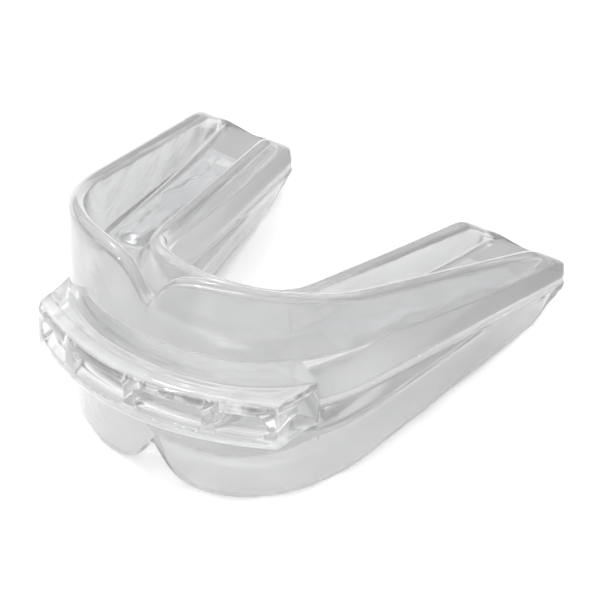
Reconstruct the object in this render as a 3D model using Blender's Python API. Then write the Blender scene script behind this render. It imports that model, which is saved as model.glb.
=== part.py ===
"""Clear double mouthguard with a front breathing nozzle.

Two bite trays lie back to back, one for the upper and one for the lower teeth. A curved
breathing nozzle is set between them at the front, with four air slots that run through to
the tongue side. Thin core strips join the trays along both arms, and each arm has a soft
bite pad on its tray floor.

Everything is first laid out flat, in millimetres: X across, Y from front to back and Z up
from the plane between the two trays. It is then tilted to stand on the lower tray's rims.
"""
import math

import bmesh
import bpy
import numpy as np

MM = 0.001

# The arch that both trays follow, seen from above: half of it, at the outer face.
ARCH_DEPTH = 54.9
SHOULDER_X = 24.6
SHOULDER_Y = 18.1
FRONT_REACH = 15.5
SHOULDER_REACH = 9.4
ARM_SPLAY = math.radians(10.4)
ARCH_STEPS = 240

# The trays' walls, floors and rear ends.
UPPER_RIM = (19.7, 0.262)
UPPER_TONGUE_RIM = (11.5, 0.095)
LOWER_RIM = (16.8, 0.2244)
LOWER_TONGUE_RIM = (14.3, 0.185)
RIM_RADIUS = 1.15
UPPER_LEAN = 0.1
LOWER_LEAN = 0.6
BASE_WALL = 2.9
WIDTH_FRONT = 11.0
WIDTH_REAR = 14.8
UPPER_TONGUE_LEAN = (-2.2, 0.8)
LOWER_TONGUE_LEAN = (1.2, 1.2)
FULL_LEAN_HEIGHT = 8.0
FLOOR_REAR = 1.8
FLOOR_FRONT = 5.8
FLOOR_SLOPE = (0.35, 0.95)
FLOOR_FILLET = 1.0
FILLET_WIDTH_SHARE = 0.45
FILLET_HEIGHT_SHARE = 0.4
FLARE_SHARE = 0.4
EDGE = 0.35
REAR_CUT_UPPER = (2.4, 0.8)
REAR_CUT_LOWER = (-0.2, 1.0)
REAR_MIN = 1.6
REAR_BLEND = 0.35
REAR_LENGTH = 9.0
REAR_LIP = 0.5
NOTCH_DEPTH = (5.2, 4.8)
NOTCH_WIDTH = 2.5
NOTCH_TIP = 0.45
FRONT_DIP = 1.0
FRONT_DIP_WIDTH = 8.0

# The breathing nozzle and its air slots.
NOZZLE_HALF_WIDTH = 20.6
NOZZLE_REACH = 4.1
NOZZLE_BOW = 6.0
NOZZLE_HEIGHT = 7.6
NECK_HEIGHT = 6.6
LIP_DEPTH = 2.7
LIP_SHARE = 0.75
LIP_STEP = 0.3
GROOVE_SHARE = 0.08
LIP_ROUND = 0.9
NOZZLE_CORNER = 1.3
SLOT_HEIGHT = 3.6
NOZZLE_ARC = 24.6
POCKET_STEP = 0.9
RIB_PLACES = (-10.6, 0.0, 10.6)
RIB_WIDTH = 1.9
SLOT_END = 18.6
SLOT_END_ROUND = 1.5
RIB_ROUND = 0.5
SLOT_REAR_SHARE = 0.78

# The thin pieces between and inside the trays.
GAP = 0.3
CORE_THICKNESS = 0.8
CORE_INSET = 0.15
CORE_START = 26.3
PAD_THICKNESS = 0.9
PAD_START = 30.0
PAD_END = 64.0
PAD_SIDE = 1.1

# Distances from the front centre where the trays' cross sections sit close together.
NOTCH_STATIONS = (0.0, 0.9, 1.9, 3.1, 4.4, 6.0)
STATION_MARGIN = 1.5

# The lower rims lie in one sloping plane; this tilt sets them flat on the ground.
REST_TILT = math.atan(LOWER_RIM[1])


def clear_scene():
    """Remove every object of the open file."""
    for item in list(bpy.data.objects):
        bpy.data.objects.remove(item, do_unlink=True)


def bezier(points, share):
    """Point at a share of the way along a cubic curve."""
    back = 1.0 - share
    weights = (back**3, 3 * back**2 * share, 3 * back * share**2, share**3)
    return sum(w * np.array(p) for w, p in zip(weights, points))


def half_arch():
    """Outer face of the right half: points from the front centre to the rear end."""
    along = np.array([math.sin(ARM_SPLAY), math.cos(ARM_SPLAY)])
    shoulder = np.array([SHOULDER_X, SHOULDER_Y])
    handles = [(0.0, 0.0), (FRONT_REACH, 0.0), shoulder - SHOULDER_REACH * along, shoulder]
    curve = [bezier(handles, step / ARCH_STEPS) for step in range(ARCH_STEPS + 1)]
    rear = shoulder + along * (ARCH_DEPTH - SHOULDER_Y) / along[1]
    arm = [shoulder + (rear - shoulder) * step / ARCH_STEPS for step in range(1, ARCH_STEPS + 1)]
    return np.array(curve + arm)


ARCH = half_arch()
ARCH_RUN = np.concatenate([[0.0], np.cumsum(np.linalg.norm(np.diff(ARCH, axis=0), axis=1))])
ARCH_LENGTH = ARCH_RUN[-1]


def smooth_share(value, start, end):
    """Ease from 0 at start to 1 at end."""
    share = min(max((value - start) / (end - start), 0.0), 1.0)
    return share * share * (3.0 - 2.0 * share)


def arch_point(run):
    """Point on the outer face at a signed distance from the front centre."""
    side = math.copysign(1.0, run)
    x = np.interp(abs(run), ARCH_RUN, ARCH[:, 0])
    y = np.interp(abs(run), ARCH_RUN, ARCH[:, 1])
    return np.array([side * x, y])


def inward(run):
    """Direction of a cross section, from the outer face towards the tongue."""
    step = 4.0
    before = arch_point(max(run - step, -ARCH_LENGTH))
    after = arch_point(min(run + step, ARCH_LENGTH))
    tangent = (after - before) / np.linalg.norm(after - before)
    normal = np.array([-tangent[1], tangent[0]])
    across = np.array([-math.copysign(1.0, run), 0.0])
    blend = smooth_share(abs(run), 0.45 * ARCH_LENGTH, 0.8 * ARCH_LENGTH)
    mixed = normal * (1.0 - blend) + across * blend
    mixed /= np.linalg.norm(mixed)
    return mixed / float(np.dot(mixed, normal))


def place(run, depth, z):
    """A point of a cross section in the flat layout."""
    x, y = arch_point(run) + depth * inward(run)
    return (x, y, z)


def reach_back(run):
    """How far back a cross section starts."""
    return arch_point(run)[1]


def width(run):
    """Width of the trays from the outer face to the tongue side."""
    return WIDTH_FRONT + (WIDTH_REAR - WIDTH_FRONT) * abs(run) / ARCH_LENGTH


def notch(run, depth):
    """Dip of a front rim: a V with soft shoulders at the centre of a wider shallow dip."""
    away = (math.hypot(run, NOTCH_TIP) - NOTCH_TIP) / NOTCH_WIDTH
    return depth * math.exp(-(away**1.3)) + FRONT_DIP * math.exp(-((run / FRONT_DIP_WIDTH) ** 2))


def blend_down(height, limit):
    """The lower of two heights, with the corner between them rounded."""
    gap = min(abs(height - limit) / REAR_BLEND, 40.0)
    return min(height, limit) - REAR_BLEND * math.log(1.0 + math.exp(-gap))


def rear_limit(run, upper):
    """Height that the sloping cut of the rear end leaves to a wall."""
    left = max(ARCH_DEPTH - reach_back(run), 0.0)
    start, slope = REAR_CUT_UPPER if upper else REAR_CUT_LOWER
    return start + slope * left


def heights(run, upper):
    """Heights of the outer rim, the tongue rim and the floor above the middle plane."""
    back = reach_back(run)
    outer_rule, tongue_rule = (UPPER_RIM, UPPER_TONGUE_RIM) if upper else (LOWER_RIM, LOWER_TONGUE_RIM)
    limit = rear_limit(run, upper)
    outer = outer_rule[0] - outer_rule[1] * back - notch(run, NOTCH_DEPTH[0 if upper else 1])
    outer = max(blend_down(outer, limit), REAR_MIN)
    tongue = max(blend_down(tongue_rule[0] - tongue_rule[1] * back, limit), REAR_MIN)
    sloped = smooth_share(abs(run), FLOOR_SLOPE[0] * ARCH_LENGTH, FLOOR_SLOPE[1] * ARCH_LENGTH)
    floor = FLOOR_FRONT + (FLOOR_REAR - FLOOR_FRONT) * sloped
    return outer, tongue, min(floor, min(outer, tongue) - REAR_LIP)


def underside(run):
    """Height of a tray's face towards the other tray: over the nozzle or over the core strip."""
    over_nozzle = NECK_HEIGHT / 2 + GAP
    over_core = CORE_THICKNESS / 2 + GAP
    start = NOZZLE_ARC + GAP / 2
    return over_nozzle + (over_core - over_nozzle) * smooth_share(abs(run), start, start + POCKET_STEP)


def round_over(centre, top, low, radius, steps):
    """Rounded rim from one side of a wall, over its top, to the other side."""
    rise = min(radius, top - low)
    points = []
    for step in range(steps + 1):
        angle = math.pi * step / steps
        points.append((centre - radius * math.cos(angle), top - rise + rise * math.sin(angle)))
    return points


def tray_section(run, upper):
    """Closed outline of one tray's cross section as depth and height."""
    outer, tongue, floor = heights(run, upper)
    base = underside(run)
    base = min(base, floor - EDGE)
    wide = width(run)
    lean, tongue_leans = (UPPER_LEAN, UPPER_TONGUE_LEAN) if upper else (LOWER_LEAN, LOWER_TONGUE_LEAN)
    tongue_lean = tongue_leans[0] + (tongue_leans[1] - tongue_leans[0]) * abs(run) / ARCH_LENGTH
    lean *= min(1.0, (outer - base) / FULL_LEAN_HEIGHT)
    tongue_lean *= min(1.0, (tongue - base) / FULL_LEAN_HEIGHT)
    left = BASE_WALL
    right = wide - BASE_WALL
    height = min(outer, tongue) - floor
    fillet = min(FLOOR_FILLET, (right - left) * FILLET_WIDTH_SHARE, height * FILLET_HEIGHT_SHARE)
    front_rim = round_over(lean + RIM_RADIUS, outer, floor + fillet, RIM_RADIUS, 6)
    back_rim = round_over(wide - tongue_lean - RIM_RADIUS, tongue, floor + fillet, RIM_RADIUS, 6)
    points = [(EDGE, base), (0.0, base + EDGE)]
    points.append((lean * FLARE_SHARE, base + EDGE + (outer - base) * FLARE_SHARE))
    points += front_rim
    for step in range(4):
        angle = 0.5 * math.pi * step / 3
        points.append((left + fillet * (1 - math.cos(angle)), floor + fillet * (1 - math.sin(angle))))
    points.append(((left + right) / 2, floor))
    for step in range(3, -1, -1):
        angle = 0.5 * math.pi * step / 3
        points.append((right - fillet * (1 - math.cos(angle)), floor + fillet * (1 - math.sin(angle))))
    points += back_rim
    points.append((wide - tongue_lean * FLARE_SHARE, base + EDGE + (tongue - base) * FLARE_SHARE))
    points += [(wide, base + EDGE), (wide - EDGE, base)]
    return points


def stations(start, end, steps):
    """Evenly spaced distances from start to end."""
    return [start + (end - start) * step / steps for step in range(steps + 1)]


def tray_stations():
    """Cross section places along the whole arch, close together where the shape turns."""
    half = list(NOTCH_STATIONS)
    half += stations(NOTCH_STATIONS[-1], NOZZLE_ARC - STATION_MARGIN, 6)[1:]
    half += stations(NOZZLE_ARC + GAP / 2, NOZZLE_ARC + GAP / 2 + POCKET_STEP, 1)
    half += stations(NOZZLE_ARC + 3 * STATION_MARGIN, ARCH_LENGTH - REAR_LENGTH - STATION_MARGIN, 8)
    half += stations(ARCH_LENGTH - REAR_LENGTH, ARCH_LENGTH, 9)
    return [-run for run in reversed(half[1:])] + half


def loft(name, rings, mirrored=False):
    """Closed body through equal rings of points, capped at both ends.

    A cap is one flat face, or a strip of faces between mirrored points of the ring.
    """
    mesh = bpy.data.meshes.new(name)
    shape = bmesh.new()
    rows = [[shape.verts.new((x * MM, y * MM, z * MM)) for x, y, z in ring] for ring in rings]
    count = len(rings[0])
    for row, following in zip(rows, rows[1:]):
        for place_in_ring in range(count):
            after = (place_in_ring + 1) % count
            shape.faces.new((row[place_in_ring], row[after], following[after], following[place_in_ring]))
    for row in (rows[0], rows[-1]):
        if mirrored:
            for near in range(count // 2 - 1):
                shape.faces.new((row[near], row[near + 1], row[count - 2 - near], row[count - 1 - near]))
        else:
            shape.faces.new(row)
    bmesh.ops.recalc_face_normals(shape, faces=shape.faces)
    shape.to_mesh(mesh)
    shape.free()
    item = bpy.data.objects.new(name, mesh)
    bpy.context.scene.collection.objects.link(item)
    return item


def make_tray(name, upper):
    """One bite tray, lofted through its cross sections."""
    sign = 1.0 if upper else -1.0
    rings = []
    for run in tray_stations():
        rings.append([place(run, depth, sign * z) for depth, z in tray_section(run, upper)])
    return loft(name, rings)


def lip_point(run):
    """Point on the nozzle's front edge, ahead of the trays' outer face."""
    x = arch_point(run)[0] * NOZZLE_HALF_WIDTH / arch_point(NOZZLE_ARC)[0]
    return np.array([x, NOZZLE_BOW * (x / NOZZLE_HALF_WIDTH) ** 2 - NOZZLE_REACH])


def nozzle_point(run, way, z):
    """Point of the nozzle: way runs from the lip (0) past the outer face (1) to the tongue (2)."""
    outer = arch_point(run)
    if way <= 1.0:
        x, y = lip_point(run) * (1.0 - way) + outer * way
        return (x, y, z)
    return place(run, (way - 1.0) * (width(run) - CORE_INSET), z)


def nozzle_section(run):
    """Outline of the nozzle at one place along the arch, as way and height."""
    left = max(NOZZLE_ARC - abs(run), 0.0)
    turn = 1.0 - min(left / NOZZLE_CORNER, 1.0)
    drop = NOZZLE_CORNER * (1.0 - math.sqrt(1.0 - turn * turn))
    lip = NOZZLE_HEIGHT / 2 - drop
    neck = NECK_HEIGHT / 2 - drop
    round_lip = min(LIP_ROUND, lip * 0.8)
    distance = float(np.linalg.norm(arch_point(run) - lip_point(run)))
    back = min(LIP_DEPTH / distance, LIP_SHARE)
    edge = round_lip / distance
    upper = []
    for step in range(5):
        angle = 0.5 * math.pi * step / 4
        upper.append((edge * (1.0 - math.sin(angle)), lip - round_lip * (1.0 - math.cos(angle))))
    upper.reverse()
    upper += [(back * 0.9, lip), (back, lip - LIP_STEP), (back + GROOVE_SHARE, neck)]
    upper += [(1.0, neck), (1.5, neck), (2.0, neck)]
    return upper + [(way, -z) for way, z in reversed(upper)]


def slot_outline(start, end, round_start, round_end):
    """Outline of one air slot on the nozzle's face, each end with its own corner radius."""
    half = SLOT_HEIGHT / 2
    corners = [(end, 1, up, round_end) for up in (1, -1)]
    corners += [(start, -1, up, round_start) for up in (-1, 1)]
    outline = []
    for number, (edge, out, up, radius) in enumerate(corners):
        for step in range(4):
            angle = 0.5 * math.pi * step / 3
            along, across = (math.sin(angle), math.cos(angle))
            if number % 2:
                along, across = across, along
            outline.append((edge - out * radius * (1 - along), up * (half - radius * (1 - across))))
    return outline


def air_slot(number, start, end):
    """Cutter for one air slot, narrower towards the tongue side."""
    round_start = SLOT_END_ROUND if start < -SLOT_END + 0.1 else RIB_ROUND
    round_end = SLOT_END_ROUND if end > SLOT_END - 0.1 else RIB_ROUND
    scale = NOZZLE_ARC / NOZZLE_HALF_WIDTH
    rings = []
    for way in (-0.4, 0.0, 0.5, 1.0, 1.5, 2.0, 2.4):
        share = 1.0 - max(0.0, way - 1.0) * (1.0 - SLOT_REAR_SHARE)
        centre = (start + end) / 2
        ring = []
        for along, z in slot_outline(start, end, round_start, round_end):
            run = scale * (centre + (along - centre) * share)
            ring.append(nozzle_point(run, way, z))
        rings.append(ring)
    cutter = loft("air_slot_cutter_%d" % number, rings)
    cutter.hide_render = True
    cutter.display_type = "WIRE"
    return cutter


def make_nozzle():
    """Breathing nozzle: rounded lip, neck and inner duct with four slots and three ribs."""
    half = stations(0.0, NOZZLE_ARC - NOZZLE_CORNER, 12)
    half += [NOZZLE_ARC - NOZZLE_CORNER * (1 - math.sin(0.5 * math.pi * step / 4)) for step in range(1, 5)]
    runs = [-run for run in reversed(half[1:])] + half
    rings = [[nozzle_point(run, way, z) for way, z in nozzle_section(run)] for run in runs]
    nozzle = loft("breathing_nozzle", rings, mirrored=True)
    edges = [-SLOT_END]
    for centre in RIB_PLACES:
        edges += [centre - RIB_WIDTH / 2, centre + RIB_WIDTH / 2]
    edges.append(SLOT_END)
    for number in range(len(edges) // 2):
        cutter = air_slot(number, edges[2 * number], edges[2 * number + 1])
        cut = nozzle.modifiers.new("slot_%d" % number, "BOOLEAN")
        cut.operation = "DIFFERENCE"
        cut.solver = "EXACT"
        cut.object = cutter
    return nozzle


def make_core_strip(name, side):
    """Thin strip between the trays along one arm."""
    half = CORE_THICKNESS / 2
    rings = []
    for run in stations(CORE_START, ARCH_LENGTH - CORE_INSET, 12):
        far = width(run) - CORE_INSET
        corners = [(CORE_INSET, -half), (CORE_INSET, half), (far, half), (far, -half)]
        rings.append([place(side * run, depth, z) for depth, z in corners])
    return loft(name, rings)


def pad_top(upper, back):
    """Height of the flat top of a bite pad at a distance behind the front."""
    levels = [heights(run, upper)[2] + GAP + PAD_THICKNESS for run in (PAD_START, PAD_END)]
    slope = (levels[1] - levels[0]) / (reach_back(PAD_END) - reach_back(PAD_START))
    return levels[0] + slope * (back - reach_back(PAD_START))


def make_pad(name, side, upper):
    """Soft bite pad on the floor of one arm, with a flat top."""
    sign = 1.0 if upper else -1.0
    rings = []
    for run in stations(PAD_START, PAD_END, 10):
        floor = heights(run, upper)[2] + GAP
        ring = []
        for depth in (BASE_WALL + PAD_SIDE, width(run) - BASE_WALL - PAD_SIDE):
            x, y, z = place(side * run, depth, floor)
            ring += [(x, y, sign * z), (x, y, sign * pad_top(upper, y))]
        rings.append([ring[0], ring[1], ring[3], ring[2]])
    return loft(name, rings)


def add_material(item, name, colour, roughness, ior, transmission=0.6):
    """Give one piece its own clear plastic or gel."""
    material = bpy.data.materials.new(name)
    material.use_nodes = True
    shader = material.node_tree.nodes["Principled BSDF"]
    shader.inputs["Base Color"].default_value = (*colour, 1.0)
    shader.inputs["Roughness"].default_value = roughness
    shader.inputs["Metallic"].default_value = 0.0
    shader.inputs["IOR"].default_value = ior
    shader.inputs["Transmission Weight"].default_value = transmission
    item.data.materials.append(material)


def stand_on_rims(items):
    """Tilt the flat layout onto the lower rims and centre it over the origin."""
    cos, sin = math.cos(REST_TILT), math.sin(REST_TILT)
    for item in items:
        for vertex in item.data.vertices:
            x, y, z = vertex.co
            vertex.co = (x, y * cos + z * sin, z * cos - y * sin)
    solids = [item for item in items if not item.hide_render]
    corners = np.array([tuple(v.co) for item in solids for v in item.data.vertices])
    low, high = corners.min(axis=0), corners.max(axis=0)
    shift = np.array([(low[0] + high[0]) / 2, (low[1] + high[1]) / 2, low[2]])
    for item in items:
        for vertex in item.data.vertices:
            vertex.co = np.array(vertex.co) - shift


def shade(item):
    """Shade round faces smoothly and keep real edges sharp."""
    item.data.shade_smooth()
    item.data.set_sharp_from_angle(angle=math.radians(35))


def main():
    """Build every piece and stand the mouthguard on its lower rims."""
    clear_scene()
    satin = (0.82, 0.83, 0.84)
    clear = (0.93, 0.94, 0.95)
    pieces = {
        "upper_tray": (make_tray("upper_tray", True), satin, 0.28, 1.46),
        "lower_tray": (make_tray("lower_tray", False), satin, 0.28, 1.46),
        "breathing_nozzle": (make_nozzle(), clear, 0.04, 1.5),
    }
    for side_name, side in (("left", -1.0), ("right", 1.0)):
        name = side_name + "_core_strip"
        pieces[name] = (make_core_strip(name, side), clear, 0.1, 1.48)
        for tray_name, upper in (("upper", True), ("lower", False)):
            name = "%s_%s_bite_pad" % (tray_name, side_name)
            pieces[name] = (make_pad(name, side, upper), clear, 0.15, 1.44)
    for name, (item, colour, roughness, ior) in pieces.items():
        add_material(item, name + "_plastic", colour, roughness, ior)
        shade(item)
    stand_on_rims(list(bpy.data.objects))


main()
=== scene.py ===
"""Visual model of the clear double mouthguard, built over its CAD frame.

Every piece is a smooth, finely divided mesh. It is laid out flat in millimetres (X across, Y from
the front to the back, Z up from the plane between the trays) and then tilted onto the lower rims.
"""
import math

import bmesh
import bpy
import numpy as np
from mathutils import Matrix, Vector


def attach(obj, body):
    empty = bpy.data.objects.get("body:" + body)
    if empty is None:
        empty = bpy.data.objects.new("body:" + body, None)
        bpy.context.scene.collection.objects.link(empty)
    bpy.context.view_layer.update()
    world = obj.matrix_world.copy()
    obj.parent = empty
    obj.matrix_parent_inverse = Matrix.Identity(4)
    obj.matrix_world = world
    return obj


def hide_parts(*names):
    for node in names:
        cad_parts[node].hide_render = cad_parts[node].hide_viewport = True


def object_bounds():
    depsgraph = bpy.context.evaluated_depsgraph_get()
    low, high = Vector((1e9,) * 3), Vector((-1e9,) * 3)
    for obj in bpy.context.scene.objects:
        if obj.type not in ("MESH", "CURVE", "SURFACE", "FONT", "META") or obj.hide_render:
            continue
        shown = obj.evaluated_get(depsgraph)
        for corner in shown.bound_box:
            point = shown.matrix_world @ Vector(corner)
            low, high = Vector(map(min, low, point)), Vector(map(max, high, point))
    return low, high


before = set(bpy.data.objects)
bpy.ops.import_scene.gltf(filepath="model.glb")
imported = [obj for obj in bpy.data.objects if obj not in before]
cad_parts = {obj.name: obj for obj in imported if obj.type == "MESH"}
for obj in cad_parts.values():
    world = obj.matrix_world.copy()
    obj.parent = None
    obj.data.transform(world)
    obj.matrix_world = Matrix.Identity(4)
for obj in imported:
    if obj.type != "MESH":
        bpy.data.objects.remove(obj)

CAD_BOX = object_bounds()
MM = 0.001

# The arch that both trays follow, seen from above: the outer face of its right half.
ARCH_DEPTH = 54.9
SHOULDER_X = 24.6
SHOULDER_Y = 18.1
FRONT_REACH = 15.5
SHOULDER_REACH = 9.4
ARM_SPLAY = math.radians(10.4)
ARCH_STEPS = 400
TANGENT_STEP = 4.0
# Shares of the arch between which its cross sections turn from square to the arch to straight across.
TURN_ZONE = (0.45, 0.8)

# Rim heights of the trays: at the front, and the fall for each millimetre further back.
UPPER_RIM = (19.7, 0.262)
UPPER_TONGUE_RIM = (11.5, 0.095)
LOWER_RIM = (16.8, 0.2244)
LOWER_TONGUE_RIM = (14.3, 0.185)
# The whole part stands on its lower rims, so their fall is its tilt.
REST_TILT = math.atan(LOWER_RIM[1])

# The trays' walls. A lean is how far a rim stands in over its channel, and below zero away from
# it; a tongue-side wall has one at the front and one at the rear.
WIDTH_FRONT = 11.0
WIDTH_REAR = 14.8
BASE_WALL = 2.9
RIM_RADIUS = 1.15
LEAST_RIM_RISE = 0.05
UPPER_LEAN = 0.1
LOWER_LEAN = 0.6
UPPER_TONGUE_LEAN = (-2.2, 0.8)
LOWER_TONGUE_LEAN = (1.2, 1.2)
FULL_LEAN_HEIGHT = 8.0

# The trays' floors: heights over the middle plane, and the shares of the arch between which they fall.
FLOOR_FRONT = 5.8
FLOOR_REAR = 1.8
FLOOR_SLOPE = (0.35, 0.95)
FLOOR_FILLET = 1.0
FILLET_WIDTH_SHARE = 0.45
FILLET_HEIGHT_SHARE = 0.4
EDGE = 0.4
EDGE_SHARE = 0.45
# Distance over which a tray's underside steps from over the nozzle to over the core strip.
RAMP_LENGTH = 0.4

# The rear ends. A cut is its height at the very end, and the rise for each millimetre forward.
# The floor stays REAR_LIP under the rims, and the side walls curve in over the last REAR_WRAP.
REAR_CUT_UPPER = (2.4, 0.8)
REAR_CUT_LOWER = (-0.2, 1.0)
REAR_MIN = 1.6
REAR_BLEND = 0.35
REAR_LIP = 0.5
REAR_WRAP = 1.6

# The dips at the front centre of the outer rims; the notch depths are the upper and the lower one.
NOTCH_DEPTH = (5.2, 4.8)
NOTCH_WIDTH = 2.5
NOTCH_TIP = 0.45
NOTCH_POWER = 1.3
FRONT_DIP = 1.0
FRONT_DIP_WIDTH = 8.0

# How finely a tray is divided: around its cross section, and along half of the arch.
RIM_STEPS = 16
FILLET_STEPS = 8
EDGE_STEPS = 4
OUTSIDE_STEPS = 6
INSIDE_STEPS = 4
FLOOR_STEPS = 5
UNDERSIDE_STEPS = 8
NOTCH_ZONE = 7.0
NOTCH_SECTIONS = 20
FRONT_SECTIONS = 20
RAMP_SECTIONS = 4
ARM_GAP = 1.2
ARM_SECTIONS = 30
REAR_LENGTH = 9.0
REAR_SECTIONS = 20
ROUND_SECTIONS = 8

# The breathing nozzle: half its width at the lip, how far the lip stands out at the centre, how
# much it bows back, and how far along the arch the nozzle ends. NECK_WAYS are ways (see
# nozzle_point) over its neck, the part between the trays.
NOZZLE_HALF_WIDTH = 20.6
NOZZLE_REACH = 4.1
NOZZLE_BOW = 6.0
NOZZLE_ARC = 24.6
NOZZLE_HEIGHT = 7.6
NOZZLE_CORNER = 0.8
NOZZLE_SECTIONS = 40
NOZZLE_VOXEL = 0.2
SOFTEN_FACTOR = 0.5
SOFTEN_TIMES = 4
NECK_HEIGHT = 6.6
NECK_WAYS = (1.0, 1.25, 1.5, 1.75, 2.0)
LIP_DEPTH = 2.7
LIP_SHARE = 0.75
LIP_ROUND = 1.1
LIP_ROUND_SHARE = 0.8
LIP_STEPS = 8
LIP_FLAT_SHARE = 0.8
LIP_EDGE_SHARE = 0.95
LIP_EDGE_DROP = 0.15

# The groove behind the lip: the nozzle's height there and what is added to it between two
# distances from the centre. Then, as ways (see nozzle_point), where the groove's near side comes
# down, counted from the lip's back, and where its far side goes up.
GROOVE_HEIGHT = 5.8
GROOVE_RISE = 0.6
GROOVE_END = (19.0, 23.5)
GROOVE_FILLET = 0.2
GROOVE_NEAR = (0.03, 0.08)
GROOVE_FAR = (0.9, 0.97)

# The air slots and the ribs between them.
SLOT_HEIGHT = 3.6
SLOT_END = 18.6
SLOT_END_ROUND = 1.6
SLOT_REAR_SHARE = 0.78
SLOT_WAYS = (-0.4, 0.0, 0.25, 0.5, 0.75, 1.0, 1.25, 1.5, 1.75, 2.0, 2.4)
SLOT_CORNER_STEPS = 6
RIB_PLACES = (-10.6, 0.0, 10.6)
RIB_WIDTH = 1.9
RIB_ROUND = 0.7

# The thin pieces between and inside the trays.
GAP = 0.03
CORE_THICKNESS = 0.85
CORE_INSET = 0.12
CORE_START = 25.1
CORE_ROUND = 0.2
CORE_ROUND_LIMIT = 0.49
CORE_ROUND_STEPS = 4
CORE_FLAT_STEPS = 10
CORE_SECTIONS = 60
PAD_START = 30.0
PAD_END = 64.0
PAD_FADE = 5.0
PAD_SIDE = 0.6
PAD_THICKNESS = 1.1
PAD_EDGE = 0.05
PAD_FLATNESS = 4
PAD_SECTIONS = 90
PAD_STEPS = 60

# Flow marks in a bite pad's top: long waves, short waves, and one winding furrow. A rate is in
# radians a millimetre along the arch, and a width rate in radians over the pad's whole width. The
# furrow's width, its place and the size of its sways are shares of that width.
WAVE_HEIGHT = 0.11
WAVE_RATE = 0.55
WAVE_SWAY = 2.2
WAVE_WIDTH_RATE = 3.1
RIPPLE_HEIGHT = 0.05
RIPPLE_RATE = 1.3
RIPPLE_WIDTH_RATE = 5.0
FURROW_DEPTH = 0.3
FURROW_WIDTH = 0.045
FURROW_PLACE = 0.36
FURROW_SWAYS = ((0.1, 0.36), (0.05, 0.9))

# The plastics. Haze is how much of the plastic is milky and not clear. Painted-light haze is added
# to it on faces that look up, painted light that makes tops and rims show lighter. Ripple and grain
# are bump depths in millimetres, and shadow is the share of light that a piece blocks.
SATIN = {
    "tint": (0.71, 0.712, 0.715), "haze": 0.12, "roughness": (0.1, 0.15), "ior": 1.43,
    "ripple": 0.2, "grain": 0.0008, "shadow": 0.1, "coat": 0.7, "painted_light_haze": 0.22,
}
GLOSSY = {
    "tint": (0.9, 0.902, 0.905), "haze": 0.05, "roughness": (0.02, 0.05), "ior": 1.45,
    "ripple": 0.05, "grain": 0.0, "shadow": 0.1, "coat": 1.0,
}
GEL = {
    "tint": (0.86, 0.865, 0.87), "haze": 0.15, "roughness": (0.1, 0.16), "ior": 1.36,
    "ripple": 0.1, "grain": 0.0, "shadow": 0.05,
}
CORE = {
    "tint": (0.85, 0.852, 0.855), "haze": 0.5, "roughness": (0.2, 0.25), "ior": 1.4,
    "ripple": 0.02, "grain": 0.0, "shadow": 0.05,
}
COAT_ROUGHNESS = 0.04
CREASE_ANGLE = math.radians(50)

# Noises in the plastics: features a metre, detail, and stretch along X, Y and Z.
FLOW_NOISE = (110.0, 4.0, (1.0, 0.45, 1.0))
GRAIN_NOISE = (1100.0, 2.0)
SMUDGE_NOISE = (260.0, 5.0)
SCRATCH_NOISE = (900.0, 2.0, (0.08, 1.0, 1.0))
SMUDGE_TINT = 0.94
SMUDGE_TINT_ZONE = (0.35, 0.7)
SMUDGE_ROUGH_ZONE = (0.3, 0.7)
SCRATCH_ZONE = (0.66, 0.74)
SCRATCH_ROUGHNESS = 0.06
# Painted light: heights of the face's normal over which faces that look up turn milkier and lighter.
PAINTED_LIGHT_HAZE_ZONE = (0.2, 0.9)

# Marked faces: bonded ones are cloudy, and the nozzle's lips hazier. Faces marked for painted shade
# get a dark tint as painted shade, in the waist between the trays along the arms and on the rear ends.
BONDED_HAZE = 0.75
# Painted shade: its dark tint, the distances along the arch over which it comes in, and its strength on
# each tray.
PAINTED_SHADE_TINT = 0.38
PAINTED_SHADE_ZONE = (30.0, 48.0)
UPPER_PAINTED_SHADE = 1.0
LOWER_PAINTED_SHADE = 0.15
LIP_HAZE = 0.4
LIP_STEEPNESS = (0.2, 0.9)
LIP_ZONE = (0.2, 1.0)

# The studio, in metres and watts. The sky brightens between two heights, as shares of straight up.
# A light is its place, its size and its power.
FLOOR_REACH = 3.0
FLOOR_COLOUR = (0.9, 0.9, 0.9, 1.0)
FLOOR_ROUGHNESS = 0.9
FLOOR_GLOSS = 0.1
FLOOR_GLOW = 0.16
WHITE = (1.0, 1.0, 1.0, 1.0)
SKY_ZONE = (0.0, 0.6)
SKY_STRENGTH = (0.15, 1.25)
KEY_LIGHT = ((-0.5, 0.5, 1.1), (0.2, 0.2), 3.0)
FRONT_LIGHT = ((-0.3, -0.8, 0.9), (0.07, 0.16), 2.2)

# The camera in the flat layout: direction to it, the point it looks at, its distance and lens in
# millimetres, and in metres how far it sees.
CAMERA_AZIMUTH = math.radians(37.13)
CAMERA_ELEVATION = math.radians(35.03)
CAMERA_TARGET = (1.77, 31.97, -3.49)
CAMERA_DISTANCE = 810.3
CAMERA_LENS = 349.2
CAMERA_SENSOR = 36.0
CAMERA_CLIP = 20.0

# The Mix node's sockets for numbers and for colours: first input, second input, output.
MIX_SOCKETS = {"FLOAT": (2, 3, 0), "RGBA": (6, 7, 2)}


def bezier(points, share):
    """Point at a share of the way along a cubic curve."""
    back = 1.0 - share
    weights = (back**3, 3 * back**2 * share, 3 * back * share**2, share**3)
    return sum(w * np.array(p) for w, p in zip(weights, points))


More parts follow.
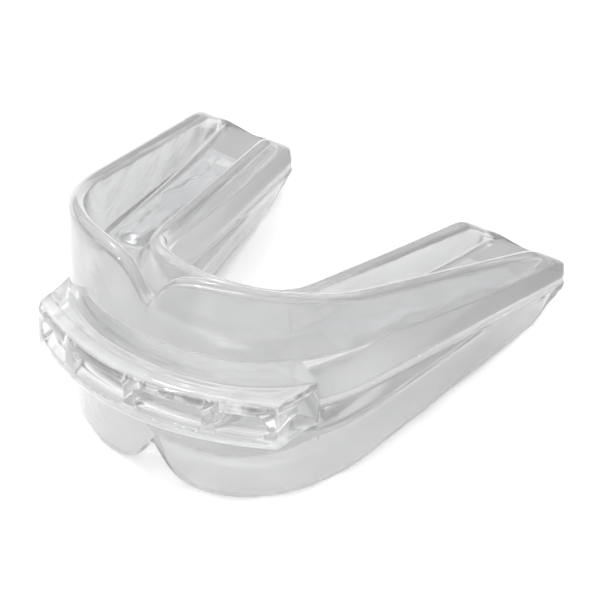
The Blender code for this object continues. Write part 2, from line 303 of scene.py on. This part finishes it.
def half_arch():
    """Outer face of the right half: points from the front centre to the rear end."""
    along = np.array([math.sin(ARM_SPLAY), math.cos(ARM_SPLAY)])
    shoulder = np.array([SHOULDER_X, SHOULDER_Y])
    handles = [(0.0, 0.0), (FRONT_REACH, 0.0), shoulder - SHOULDER_REACH * along, shoulder]
    curve = [bezier(handles, step / ARCH_STEPS) for step in range(ARCH_STEPS + 1)]
    rear = shoulder + along * (ARCH_DEPTH - SHOULDER_Y) / along[1]
    arm = [shoulder + (rear - shoulder) * step / ARCH_STEPS for step in range(1, ARCH_STEPS + 1)]
    return np.array(curve + arm)


ARCH = half_arch()
ARCH_RUN = np.concatenate([[0.0], np.cumsum(np.linalg.norm(np.diff(ARCH, axis=0), axis=1))])
ARCH_LENGTH = ARCH_RUN[-1]


def smooth_share(value, start, end):
    """Ease from 0 at start to 1 at end."""
    share = min(max((value - start) / (end - start), 0.0), 1.0)
    return share * share * (3.0 - 2.0 * share)


def along_arch(run, front, rear):
    """Value at a signed distance from the front centre, changing evenly from front to rear."""
    return front + (rear - front) * abs(run) / ARCH_LENGTH


def arch_point(run):
    """Point on the outer face at a signed distance from the front centre."""
    side = math.copysign(1.0, run)
    x = np.interp(abs(run), ARCH_RUN, ARCH[:, 0])
    y = np.interp(abs(run), ARCH_RUN, ARCH[:, 1])
    return np.array([side * x, y])


def inward(run):
    """Direction of a cross section, from the outer face towards the tongue.

    It is longer than 1 where the cross section is askew to the arch, so that the walls keep
    their thickness.
    """
    before = arch_point(max(run - TANGENT_STEP, -ARCH_LENGTH))
    after = arch_point(min(run + TANGENT_STEP, ARCH_LENGTH))
    tangent = (after - before) / np.linalg.norm(after - before)
    normal = np.array([-tangent[1], tangent[0]])
    across = np.array([-math.copysign(1.0, run), 0.0])
    blend = smooth_share(abs(run), TURN_ZONE[0] * ARCH_LENGTH, TURN_ZONE[1] * ARCH_LENGTH)
    mixed = normal * (1.0 - blend) + across * blend
    mixed /= np.linalg.norm(mixed)
    return mixed / float(np.dot(mixed, normal))


def place(run, depth, z):
    """A point of a cross section in the flat layout."""
    x, y = arch_point(run) + depth * inward(run)
    return (x, y, z)


def reach_back(run):
    """How far back a cross section starts."""
    return arch_point(run)[1]


def width(run):
    """Width of the trays from the outer face to the tongue side."""
    return along_arch(run, WIDTH_FRONT, WIDTH_REAR)


def wrap(run):
    """How far the side walls curve in towards the rear end."""
    left = min(max(ARCH_LENGTH - abs(run), 0.0), REAR_WRAP)
    return REAR_WRAP - math.sqrt(REAR_WRAP**2 - (REAR_WRAP - left) ** 2)


def wrapped(run, depth):
    """Depth in a cross section once its two sides have curved in towards the rear end."""
    middle = width(run) / 2
    squeeze = 1.0 - wrap(run) / middle
    return middle + (depth - middle) * squeeze


def notch(run, depth):
    """Dip of a front rim: a V with soft shoulders at the centre of a wider shallow dip."""
    away = (math.hypot(run, NOTCH_TIP) - NOTCH_TIP) / NOTCH_WIDTH
    return depth * math.exp(-(away**NOTCH_POWER)) + FRONT_DIP * math.exp(-((run / FRONT_DIP_WIDTH) ** 2))


def blend_down(height, limit):
    """The lower of two heights, with the corner between them rounded."""
    gap = abs(height - limit) / REAR_BLEND
    return min(height, limit) - REAR_BLEND * math.log(1.0 + math.exp(-gap))


def rear_limit(run, upper):
    """Height that the sloping cut of the rear end leaves to a wall."""
    left = max(ARCH_DEPTH - reach_back(run), 0.0)
    start, slope = REAR_CUT_UPPER if upper else REAR_CUT_LOWER
    return start + slope * left


def heights(run, upper):
    """Heights of the outer rim, the tongue rim and the floor above the middle plane."""
    back = reach_back(run)
    rim, tongue_rim = (UPPER_RIM, UPPER_TONGUE_RIM) if upper else (LOWER_RIM, LOWER_TONGUE_RIM)
    limit = rear_limit(run, upper)
    outer = rim[0] - rim[1] * back - notch(run, NOTCH_DEPTH[0 if upper else 1])
    outer = max(blend_down(outer, limit), REAR_MIN)
    tongue = max(blend_down(tongue_rim[0] - tongue_rim[1] * back, limit), REAR_MIN)
    sloped = smooth_share(abs(run), FLOOR_SLOPE[0] * ARCH_LENGTH, FLOOR_SLOPE[1] * ARCH_LENGTH)
    floor = FLOOR_FRONT + (FLOOR_REAR - FLOOR_FRONT) * sloped
    return outer, tongue, min(floor, min(outer, tongue) - REAR_LIP)


def underside(run):
    """Height of a tray's face towards the other tray: over the nozzle or over the core strip."""
    over_nozzle = NECK_HEIGHT / 2 + GAP
    over_core = CORE_THICKNESS / 2 + GAP
    ramp = NOZZLE_ARC + GAP
    return over_nozzle + (over_core - over_nozzle) * smooth_share(abs(run), ramp, ramp + RAMP_LENGTH)


def arc(centre, radius, start, end, steps):
    """Points along a circular arc; angles in degrees, 0 towards the tongue and 90 up."""
    points = []
    for step in range(steps + 1):
        angle = math.radians(start + (end - start) * step / steps)
        points.append((centre[0] + radius * math.cos(angle), centre[1] + radius * math.sin(angle)))
    return points


def line(start, end, steps):
    """Points strictly between start and end."""
    shares = [step / steps for step in range(1, steps)]
    return [(start[0] + (end[0] - start[0]) * s, start[1] + (end[1] - start[1]) * s) for s in shares]


def rim_arc(centre, top, low):
    """Rounded rim from one side of a wall, over its top, to the other side."""
    rise = max(min(RIM_RADIUS, top - low), LEAST_RIM_RISE)
    points = []
    for step in range(RIM_STEPS + 1):
        angle = math.pi * step / RIM_STEPS
        points.append((centre - RIM_RADIUS * math.cos(angle), top - rise + rise * math.sin(angle)))
    return points


def rim_leans(run, outer, tongue, base, upper):
    """How far the outer and the tongue-side rim lean in; a low wall leans less."""
    lean, tongue_leans = UPPER_LEAN, UPPER_TONGUE_LEAN
    if not upper:
        lean, tongue_leans = LOWER_LEAN, LOWER_TONGUE_LEAN
    lean *= min(1.0, (outer - base) / FULL_LEAN_HEIGHT)
    return lean, along_arch(run, *tongue_leans) * min(1.0, (tongue - base) / FULL_LEAN_HEIGHT)


def tray_section(run, upper):
    """Closed outline of one tray's cross section as depth and height."""
    outer, tongue, floor = heights(run, upper)
    base = min(underside(run), floor - EDGE)
    wide = width(run)
    lean, tongue_lean = rim_leans(run, outer, tongue, base, upper)
    left = BASE_WALL
    right = wide - BASE_WALL
    room = min(outer, tongue) - floor
    fillet = min(FLOOR_FILLET, (right - left) * FILLET_WIDTH_SHARE, room * FILLET_HEIGHT_SHARE)
    edge = min(EDGE, (floor - base) * EDGE_SHARE)
    front_rim = rim_arc(lean + RIM_RADIUS, outer, floor + fillet)
    back_rim = rim_arc(wide - tongue_lean - RIM_RADIUS, tongue, floor + fillet)
    near_fillet = arc((left + fillet, floor + fillet), fillet, 180, 270, FILLET_STEPS)
    far_fillet = arc((right - fillet, floor + fillet), fillet, 270, 360, FILLET_STEPS)
    corner = arc((wide - edge, base + edge), edge, 0, -90, EDGE_STEPS)
    points = arc((edge, base + edge), edge, 270, 180, EDGE_STEPS)
    points += line(points[-1], front_rim[0], OUTSIDE_STEPS) + front_rim
    points += line(front_rim[-1], near_fillet[0], INSIDE_STEPS) + near_fillet
    points += line(near_fillet[-1], far_fillet[0], FLOOR_STEPS) + far_fillet
    points += line(far_fillet[-1], back_rim[0], INSIDE_STEPS) + back_rim
    points += line(back_rim[-1], corner[0], OUTSIDE_STEPS) + corner
    return points + line(corner[-1], points[0], UNDERSIDE_STEPS)


def stations(start, end, steps):
    """Evenly spaced distances from start to end."""
    return [start + (end - start) * step / steps for step in range(steps + 1)]


def round_stations(end, radius):
    """Distances that close in on an end, spaced for a quarter circle."""
    angles = [0.5 * math.pi * step / ROUND_SECTIONS for step in range(1, ROUND_SECTIONS + 1)]
    return [end - radius * (1 - math.sin(angle)) for angle in angles]


def both_sides(half):
    """Distances over the whole arch from those of its right half, the first of which is 0."""
    return [-run for run in reversed(half[1:])] + half


def tray_stations():
    """Cross section places along the whole arch, close together where the shape turns."""
    ramp = NOZZLE_ARC + GAP
    rear = ARCH_LENGTH - REAR_LENGTH
    half = stations(0.0, NOTCH_ZONE, NOTCH_SECTIONS)
    half += stations(NOTCH_ZONE, NOZZLE_ARC, FRONT_SECTIONS)[1:]
    half += stations(ramp, ramp + RAMP_LENGTH, RAMP_SECTIONS)
    half += stations(NOZZLE_ARC + ARM_GAP, rear, ARM_SECTIONS)
    half += stations(rear, ARCH_LENGTH - REAR_WRAP, REAR_SECTIONS)[1:]
    return both_sides(half + round_stations(ARCH_LENGTH, REAR_WRAP))


def loft(name, rings):
    """Closed body through equal rings of points (millimetres, flat layout), capped at both ends."""
    count = len(rings[0])
    verts = [point for ring in rings for point in ring]
    faces = []
    for number in range(len(rings) - 1):
        for spot in range(count):
            after = (spot + 1) % count
            low = number * count
            faces.append((low + spot, low + after, low + count + after, low + count + spot))
    middle = len(verts)
    verts.append(tuple(np.mean(rings[0], axis=0)))
    verts.append(tuple(np.mean(rings[-1], axis=0)))
    last = (len(rings) - 1) * count
    for spot in range(count):
        after = (spot + 1) % count
        faces.append((after, spot, middle))
        faces.append((last + spot, last + after, middle + 1))
    mesh = bpy.data.meshes.new(name)
    mesh.from_pydata([Vector(v) * MM for v in verts], [], faces)
    shape = bmesh.new()
    shape.from_mesh(mesh)
    bmesh.ops.recalc_face_normals(shape, faces=shape.faces)
    shape.to_mesh(mesh)
    shape.free()
    item = bpy.data.objects.new(name, mesh)
    bpy.context.scene.collection.objects.link(item)
    return item


def make_tray(name, upper):
    """One bite tray, lofted through its cross sections."""
    sign = 1.0 if upper else -1.0
    runs = tray_stations()
    rings = []
    for run in runs:
        section = tray_section(run, upper)
        rings.append([place(run, wrapped(run, depth), sign * z) for depth, z in section])
    tray = loft(name, rings)
    mark_bonded_face(tray, runs, len(rings[0]), UPPER_PAINTED_SHADE if upper else LOWER_PAINTED_SHADE)
    return tray


def mark_bonded_face(tray, runs, count, depth):
    """Mark the face moulded onto the nozzle and the core strips, and the two trimmed rear ends, as
    bonded; mark painted shade on the same faces along the arms and on the rear ends, at a strength of
    depth.
    """
    tray.data.attributes.new("bonded", "FLOAT", "FACE")
    tray.data.attributes.new("painted_shade", "FLOAT", "FACE")
    bonded = tray.data.attributes["bonded"].data
    painted_shade = tray.data.attributes["painted_shade"].data
    for number, run in enumerate(runs[:-1]):
        for spot in range(count - UNDERSIDE_STEPS, count):
            bonded[number * count + spot].value = 1.0
            # Painted shade: the face towards the core strip darkens along the arms, where the waist
            # between the trays lies in shade.
            painted_shade[number * count + spot].value = depth * smooth_share(abs(run), *PAINTED_SHADE_ZONE)
    for number in range((len(runs) - 1) * count, len(tray.data.polygons)):
        bonded[number].value = 1.0
        # Painted shade on the trimmed rear ends.
        painted_shade[number].value = depth


def lip_point(run):
    """Point on the nozzle's front edge, ahead of the trays' outer face."""
    x = arch_point(run)[0] * NOZZLE_HALF_WIDTH / arch_point(NOZZLE_ARC)[0]
    return np.array([x, NOZZLE_BOW * (x / NOZZLE_HALF_WIDTH) ** 2 - NOZZLE_REACH])


def nozzle_point(run, way, z):
    """Point of the nozzle: way runs from the lip (0) past the outer face (1) to the tongue (2)."""
    outer = arch_point(run)
    if way <= 1.0:
        x, y = lip_point(run) * (1.0 - way) + outer * way
        return (x, y, z)
    return place(run, (way - 1.0) * (width(run) - CORE_INSET), z)


def nozzle_section(run):
    """Outline of the nozzle at one place along the arch, as way and height."""
    left = max(NOZZLE_ARC - abs(run), 0.0)
    turn = 1.0 - min(left / NOZZLE_CORNER, 1.0)
    drop = NOZZLE_CORNER * (1.0 - math.sqrt(1.0 - turn * turn))
    lip = NOZZLE_HEIGHT / 2 - drop
    neck = NECK_HEIGHT / 2 - drop
    groove = GROOVE_HEIGHT / 2 - drop + GROOVE_RISE * smooth_share(abs(run), *GROOVE_END)
    radius = min(LIP_ROUND, lip * LIP_ROUND_SHARE)
    reach = float(np.linalg.norm(arch_point(run) - lip_point(run)))
    back = min(LIP_DEPTH / reach, LIP_SHARE)
    upper = []
    for step in range(LIP_STEPS, -1, -1):
        angle = 0.5 * math.pi * step / LIP_STEPS
        upper.append((radius / reach * (1.0 - math.sin(angle)), lip - radius * (1.0 - math.cos(angle))))
    upper += [(back * LIP_FLAT_SHARE, lip), (back * LIP_EDGE_SHARE, lip - LIP_EDGE_DROP)]
    upper += [(back + GROOVE_NEAR[0], groove + GROOVE_FILLET), (back + GROOVE_NEAR[1], groove)]
    upper += [(GROOVE_FAR[0], groove), (GROOVE_FAR[1], groove + GROOVE_FILLET)]
    upper += [(way, neck) for way in NECK_WAYS]
    return upper + [(way, -z) for way, z in reversed(upper)]


def slot_outline(start, end, round_start, round_end):
    """Outline of one air slot on the nozzle's face, each end with its own corner radius."""
    half = SLOT_HEIGHT / 2
    corners = [(end, 1, up, round_end) for up in (1, -1)]
    corners += [(start, -1, up, round_start) for up in (-1, 1)]
    outline = []
    for number, (edge, out, up, radius) in enumerate(corners):
        for step in range(SLOT_CORNER_STEPS + 1):
            angle = 0.5 * math.pi * step / SLOT_CORNER_STEPS
            along, across = (math.sin(angle), math.cos(angle))
            if number % 2:
                along, across = across, along
            outline.append((edge - out * radius * (1 - along), up * (half - radius * (1 - across))))
    return outline


def air_slot(number, start, end):
    """Cutter for one air slot, narrower towards the tongue side."""
    round_start = SLOT_END_ROUND if start == -SLOT_END else RIB_ROUND
    round_end = SLOT_END_ROUND if end == SLOT_END else RIB_ROUND
    outline = slot_outline(start, end, round_start, round_end)
    scale = NOZZLE_ARC / NOZZLE_HALF_WIDTH
    centre = (start + end) / 2
    rings = []
    for way in SLOT_WAYS:
        share = 1.0 - max(0.0, way - 1.0) * (1.0 - SLOT_REAR_SHARE)
        runs = [scale * (centre + (along - centre) * share) for along, _ in outline]
        rings.append([nozzle_point(run, way, z) for run, (_, z) in zip(runs, outline)])
    return loft("air_slot_cutter_%d" % number, rings)


def bake_modifiers(item):
    """Replace an object's mesh by what its modifiers make of it."""
    graph = bpy.context.evaluated_depsgraph_get()
    mesh = bpy.data.meshes.new_from_object(item.evaluated_get(graph))
    item.modifiers.clear()
    item.data = mesh


def make_nozzle():
    """Breathing nozzle with four slots, its edges softened as moulded plastic has them."""
    half = stations(0.0, NOZZLE_ARC - NOZZLE_CORNER, NOZZLE_SECTIONS)
    rings = []
    for run in both_sides(half + round_stations(NOZZLE_ARC, NOZZLE_CORNER)):
        rings.append([nozzle_point(run, way, z) for way, z in nozzle_section(run)])
    nozzle = loft("nozzle_skin", rings)
    starts = [-SLOT_END] + [centre + RIB_WIDTH / 2 for centre in RIB_PLACES]
    ends = [centre - RIB_WIDTH / 2 for centre in RIB_PLACES] + [SLOT_END]
    cutters = [air_slot(number, *span) for number, span in enumerate(zip(starts, ends))]
    for number, cutter in enumerate(cutters):
        cut = nozzle.modifiers.new("slot_%d" % number, "BOOLEAN")
        cut.operation = "DIFFERENCE"
        cut.solver = "EXACT"
        cut.object = cutter
    grid = nozzle.modifiers.new("grid", "REMESH")
    grid.mode = "VOXEL"
    grid.voxel_size = NOZZLE_VOXEL * MM
    soften = nozzle.modifiers.new("soften", "SMOOTH")
    soften.factor = SOFTEN_FACTOR
    soften.iterations = SOFTEN_TIMES
    bake_modifiers(nozzle)
    for cutter in cutters:
        bpy.data.objects.remove(cutter, do_unlink=True)
    mark_lips(nozzle)
    return nozzle


def mark_lips(nozzle):
    """Mark the faces above and below the slots that look up or down: they get more haze."""
    mark = nozzle.data.attributes.new("lip", "FLOAT", "POINT")
    for number, vertex in enumerate(nozzle.data.vertices):
        over_slot = abs(vertex.co.z / MM) - SLOT_HEIGHT / 2
        steep = smooth_share(abs(vertex.normal.z), *LIP_STEEPNESS)
        mark.data[number].value = steep * smooth_share(over_slot, *LIP_ZONE)


def rounded_box(near, far, low, high, radius):
    """Outline of a rectangle with rounded corners."""
    radius = min(radius, (high - low) * CORE_ROUND_LIMIT, (far - near) * CORE_ROUND_LIMIT)
    points = arc((near + radius, low + radius), radius, 270, 180, CORE_ROUND_STEPS)
    points += arc((near + radius, high - radius), radius, 180, 90, CORE_ROUND_STEPS)
    points += line(points[-1], (far - radius, high), CORE_FLAT_STEPS)
    points += arc((far - radius, high - radius), radius, 90, 0, CORE_ROUND_STEPS)
    points += arc((far - radius, low + radius), radius, 0, -90, CORE_ROUND_STEPS)
    points += line(points[-1], points[0], CORE_FLAT_STEPS)
    return points


def make_core_strip(name, side):
    """Thin strip between the trays along one arm."""
    half = CORE_THICKNESS / 2
    rings = []
    for run in stations(CORE_START, ARCH_LENGTH - CORE_INSET, CORE_SECTIONS):
        section = rounded_box(CORE_INSET, width(run) - CORE_INSET, -half, half, CORE_ROUND)
        rings.append([place(side * run, wrapped(run, depth), z) for depth, z in section])
    return loft(name, rings)


def flow_marks(run, share, side):
    """Height of a bite pad's waves less its furrow, at a share of the way across the pad."""
    sway = WAVE_SWAY * math.sin(share * WAVE_WIDTH_RATE + side)
    marks = WAVE_HEIGHT * math.sin(run * WAVE_RATE + sway)
    marks += RIPPLE_HEIGHT * math.sin(run * RIPPLE_RATE + share * RIPPLE_WIDTH_RATE)
    away = share - FURROW_PLACE
    for size, rate in FURROW_SWAYS:
        away -= size * math.sin(run * rate)
    away /= FURROW_WIDTH
    return marks - FURROW_DEPTH * math.exp(-away * away)


def make_pad(name, side, upper):
    """Soft bite pad on the floor of one arm: a thin lens of gel with flow marks in its top."""
    sign = 1.0 if upper else -1.0
    rings = []
    for run in stations(PAD_START, PAD_END, PAD_SECTIONS):
        floor = heights(run, upper)[2] + GAP
        fade_in = smooth_share(run, PAD_START, PAD_START + PAD_FADE)
        fade_out = smooth_share(-run, -PAD_END, -PAD_END + PAD_FADE)
        near = BASE_WALL + PAD_SIDE
        far = width(run) - BASE_WALL - PAD_SIDE
        low_row = []
        top_row = []
        for step in range(PAD_STEPS + 1):
            share = step / PAD_STEPS
            depth = near + (far - near) * share
            fade = (1.0 - (2.0 * share - 1.0) ** PAD_FLATNESS) * (fade_in * fade_out)
            rise = (PAD_THICKNESS - PAD_EDGE + flow_marks(run, share, side)) * fade
            low_row.append(place(side * run, depth, sign * floor))
            top_row.append(place(side * run, depth, sign * (floor + PAD_EDGE + rise)))
        rings.append(low_row + top_row[::-1])
    return loft(name, rings)


def stand(items):
    """Tilt the flat layout onto the lower rims and set it on the CAD box."""
    cos, sin = math.cos(REST_TILT), math.sin(REST_TILT)
    tilt = Matrix(((1, 0, 0, 0), (0, cos, sin, 0), (0, -sin, cos, 0), (0, 0, 0, 1)))
    for item in items:
        item.data.transform(tilt)
    corners = np.array([tuple(v.co) for item in items for v in item.data.vertices])
    low, high = corners.min(axis=0), corners.max(axis=0)
    cad_low, cad_high = CAD_BOX
    move = Vector((0.0, (cad_low[1] + cad_high[1] - low[1] - high[1]) / 2, cad_low[2] - low[2]))
    for item in items:
        item.data.transform(Matrix.Translation(move))
    return tilt, move


def node(tree, kind, **inputs):
    """Add a shader node and set its inputs by name."""
    made = tree.nodes.new(kind)
    for name, value in inputs.items():
        made.inputs[name.replace("_", " ")].default_value = value
    return made


def feed(tree, socket, value):
    """Link another node's output to an input, or set the input to a fixed value."""
    if isinstance(value, bpy.types.NodeSocket):
        tree.links.new(value, socket)
    else:
        socket.default_value = value


def noise(tree, coordinates, scale, detail, stretch=(1.0, 1.0, 1.0)):
    """Noise over object coordinates; scale is in features a metre."""
    mapping = node(tree, "ShaderNodeMapping", Scale=stretch)
    made = node(tree, "ShaderNodeTexNoise", Scale=scale, Detail=detail)
    tree.links.new(coordinates, mapping.inputs["Vector"])
    tree.links.new(mapping.outputs["Vector"], made.inputs["Vector"])
    return made.outputs["Fac"]


def remap(tree, value, zone, start=0.0, end=1.0):
    """Map a value from a zone's ends to start and end, clamped."""
    made = node(tree, "ShaderNodeMapRange", From_Min=zone[0], From_Max=zone[1], To_Min=start, To_Max=end)
    tree.links.new(value, made.inputs["Value"])
    return made.outputs["Result"]


def mix(tree, kind, share, first, second):
    """Mix two numbers (FLOAT) or colours (RGBA), from the first at share 0 to the second at 1."""
    made = node(tree, "ShaderNodeMix")
    made.data_type = kind
    first_socket, second_socket, result = MIX_SOCKETS[kind]
    feed(tree, made.inputs[0], share)
    feed(tree, made.inputs[first_socket], first)
    feed(tree, made.inputs[second_socket], second)
    return made.outputs[result]


def calculate(tree, operation, first, second):
    """Result of a Math node on two numbers."""
    made = node(tree, "ShaderNodeMath")
    made.operation = operation
    feed(tree, made.inputs[0], first)
    feed(tree, made.inputs[1], second)
    return made.outputs[0]


def mark_value(tree, name):
    """Value of a mark on the mesh, which is 0 where the mesh has no such mark."""
    made = node(tree, "ShaderNodeAttribute")
    made.attribute_name = name
    return made.outputs["Fac"]


def bump(tree, height, distance, before=None):
    """Normal bent by a height, over another bump's normal if there is one; distance in mm."""
    made = node(tree, "ShaderNodeBump", Strength=1.0, Distance=distance * MM)
    tree.links.new(height, made.inputs["Height"])
    if before:
        tree.links.new(before, made.inputs["Normal"])
    return made.outputs["Normal"]


def plastic_colour(tree, smudge, tint):
    """The tint, slightly darker in smudges, and much darker as painted shade where the mesh is marked
    for it.
    """
    dull = [channel * SMUDGE_TINT for channel in tint]
    tone = mix(tree, "RGBA", remap(tree, smudge, SMUDGE_TINT_ZONE), (*tint, 1.0), (*dull, 1.0))
    # Painted shade: a dark tint on the faces marked for it.
    return mix(tree, "RGBA", mark_value(tree, "painted_shade"), tone, (PAINTED_SHADE_TINT, PAINTED_SHADE_TINT, PAINTED_SHADE_TINT, 1.0))


def plastic_roughness(tree, smudge, scratch, roughness):
    """Roughness that varies with the smudges, and is higher in thin scratches."""
    base = remap(tree, smudge, SMUDGE_ROUGH_ZONE, *roughness)
    worn = remap(tree, scratch, SCRATCH_ZONE, 0.0, SCRATCH_ROUGHNESS)
    return calculate(tree, "ADD", base, worn)


def plastic_clearness(tree, haze, painted_light_haze):
    """Share of light let through: less on faces that look up, as painted light that makes them show
    lighter, and less on bonded faces and on the lips.
    """
    split = node(tree, "ShaderNodeSeparateXYZ")
    tree.links.new(node(tree, "ShaderNodeNewGeometry").outputs["Normal"], split.inputs[0])
    # Painted light: faces that look up are made milkier, so tops and rims show lighter.
    clear = remap(tree, split.outputs["Z"], PAINTED_LIGHT_HAZE_ZONE, 1.0 - haze, 1.0 - haze - painted_light_haze)
    clear = mix(tree, "FLOAT", mark_value(tree, "bonded"), clear, 1.0 - BONDED_HAZE)
    return mix(tree, "FLOAT", mark_value(tree, "lip"), clear, 1.0 - LIP_HAZE)


def lighter_shadow(tree, surface, shadow):
    """The surface, with part of the light let through where it would cast a full shadow."""
    shadow_ray = node(tree, "ShaderNodeLightPath").outputs["Is Shadow Ray"]
    clear = node(tree, "ShaderNodeBsdfTransparent")
    mixed = node(tree, "ShaderNodeMixShader")
    feed(tree, mixed.inputs[0], calculate(tree, "MULTIPLY", shadow_ray, 1.0 - shadow))
    tree.links.new(surface, mixed.inputs[1])
    tree.links.new(clear.outputs[0], mixed.inputs[2])
    return mixed.outputs[0]


def clear_plastic(name, tint, haze, roughness, ior, ripple, grain, shadow, coat=0.0, painted_light_haze=0.0):
    """Clear moulded plastic: blurred refraction, faint haze, flow ripples, grain and fine wear."""
    material = bpy.data.materials.new(name)
    material.use_nodes = True
    tree = material.node_tree
    shader = tree.nodes["Principled BSDF"]
    where = node(tree, "ShaderNodeTexCoord").outputs["Object"]
    smudge = noise(tree, where, *SMUDGE_NOISE)
    scratch = noise(tree, where, *SCRATCH_NOISE)
    ripples = bump(tree, noise(tree, where, *FLOW_NOISE), ripple)
    inputs = {
        "Base Color": plastic_colour(tree, smudge, tint),
        "Roughness": plastic_roughness(tree, smudge, scratch, roughness),
        "Transmission Weight": plastic_clearness(tree, haze, painted_light_haze),
        "IOR": ior,
        "Coat Weight": coat,
        "Coat Roughness": COAT_ROUGHNESS,
        "Normal": bump(tree, noise(tree, where, *GRAIN_NOISE), grain, ripples),
    }
    for label, value in inputs.items():
        feed(tree, shader.inputs[label], value)
    surface = lighter_shadow(tree, shader.outputs[0], shadow)
    tree.links.new(surface, tree.nodes["Material Output"].inputs["Surface"])
    return material


def finish_piece(item, material, creased):
    """Assign the material and shade the piece smoothly, apart from its creases if it has any."""
    item.data.materials.clear()
    item.data.materials.append(material)
    item.data.shade_smooth()
    if creased:
        item.data.set_sharp_from_angle(angle=CREASE_ANGLE)


def build_pieces():
    """Make all visible pieces and stand them on the ground; gives back their tilt and move."""
    satin = clear_plastic("satin_tray", **SATIN)
    glossy = clear_plastic("glossy_nozzle", **GLOSSY)
    gel = clear_plastic("soft_gel", **GEL)
    core = clear_plastic("core_plastic", **CORE)
    pieces = [(make_tray("upper_tray_skin", True), "upper_tray", "upper_shell", satin, True)]
    pieces.append((make_tray("lower_tray_skin", False), "lower_tray", "lower_shell", satin, True))
    pieces.append((make_nozzle(), "breathing_nozzle", "nozzle", glossy, False))
    for side_name, side in (("left", -1.0), ("right", 1.0)):
        strip = make_core_strip(side_name + "_core_skin", side)
        pieces.append((strip, side_name + "_core_strip", "core", core, True))
        for tray_name, upper in (("upper", True), ("lower", False)):
            label = "%s_%s" % (tray_name, side_name)
            pad = make_pad(label + "_pad_skin", side, upper)
            pieces.append((pad, label + "_bite_pad", "bite_pad", gel, True))
    tilt, move = stand([piece[0] for piece in pieces])
    for item, cad_node, slot, material, creased in pieces:
        finish_piece(item, material, creased)
        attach(item, "root")
        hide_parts(cad_node)
    return tilt, move


def make_floor():
    """Plain pale floor."""
    corners = [(x * FLOOR_REACH, y * FLOOR_REACH, 0.0) for x, y in ((-1, -1), (1, -1), (1, 1), (-1, 1))]
    mesh = bpy.data.meshes.new("floor")
    mesh.from_pydata(corners, [], [(0, 1, 2, 3)])
    floor = bpy.data.objects.new("floor", mesh)
    bpy.context.scene.collection.objects.link(floor)
    material = bpy.data.materials.new("floor_paper")
    material.use_nodes = True
    shader = material.node_tree.nodes["Principled BSDF"]
    shader.inputs["Base Color"].default_value = FLOOR_COLOUR
    shader.inputs["Roughness"].default_value = FLOOR_ROUGHNESS
    shader.inputs["Specular IOR Level"].default_value = FLOOR_GLOSS
    shader.inputs["Emission Color"].default_value = WHITE
    shader.inputs["Emission Strength"].default_value = FLOOR_GLOW
    mesh.materials.append(material)


def make_world():
    """Soft light from above that fades towards the horizon."""
    world = bpy.data.worlds.new("studio")
    world.use_nodes = True
    bpy.context.scene.world = world
    tree = world.node_tree
    background = tree.nodes["Background"]
    where = node(tree, "ShaderNodeTexCoord").outputs["Generated"]
    split = node(tree, "ShaderNodeSeparateXYZ")
    tree.links.new(where, split.inputs[0])
    background.inputs["Color"].default_value = WHITE
    level = remap(tree, split.outputs["Z"], SKY_ZONE, *SKY_STRENGTH)
    tree.links.new(level, background.inputs["Strength"])


def area_light(name, position, size, power):
    """Soft box at a position, facing the origin."""
    data = bpy.data.lights.new(name, "AREA")
    data.shape = "RECTANGLE"
    data.size, data.size_y = size
    data.energy = power
    lamp = bpy.data.objects.new(name, data)
    lamp.location = position
    lamp.rotation_euler = (-Vector(position)).to_track_quat("-Z", "Y").to_euler()
    bpy.context.scene.collection.objects.link(lamp)


def make_camera(tilt, move):
    """Camera at the viewing angle, upright in the flat layout."""
    level = math.cos(CAMERA_ELEVATION)
    x, y = math.sin(CAMERA_AZIMUTH) * level, -math.cos(CAMERA_AZIMUTH) * level
    back = Vector((x, y, math.sin(CAMERA_ELEVATION)))
    right = Vector((0.0, 0.0, 1.0)).cross(back).normalized()
    up = back.cross(right)
    eye = (Vector(CAMERA_TARGET) + back * CAMERA_DISTANCE) * MM
    turned = Matrix((right, up, back)).transposed().to_4x4()
    turned.translation = eye
    data = bpy.data.cameras.new("camera")
    data.lens = CAMERA_LENS
    data.sensor_width = CAMERA_SENSOR
    data.clip_end = CAMERA_CLIP
    camera = bpy.data.objects.new("camera", data)
    camera.matrix_world = Matrix.Translation(move) @ tilt @ turned
    bpy.context.scene.collection.objects.link(camera)
    bpy.context.scene.camera = camera


tilt, move = build_pieces()
make_floor()
make_world()
area_light("key", *KEY_LIGHT)
area_light("front", *FRONT_LIGHT)
make_camera(tilt, move)
bpy.context.scene.view_settings.view_transform = "Standard"
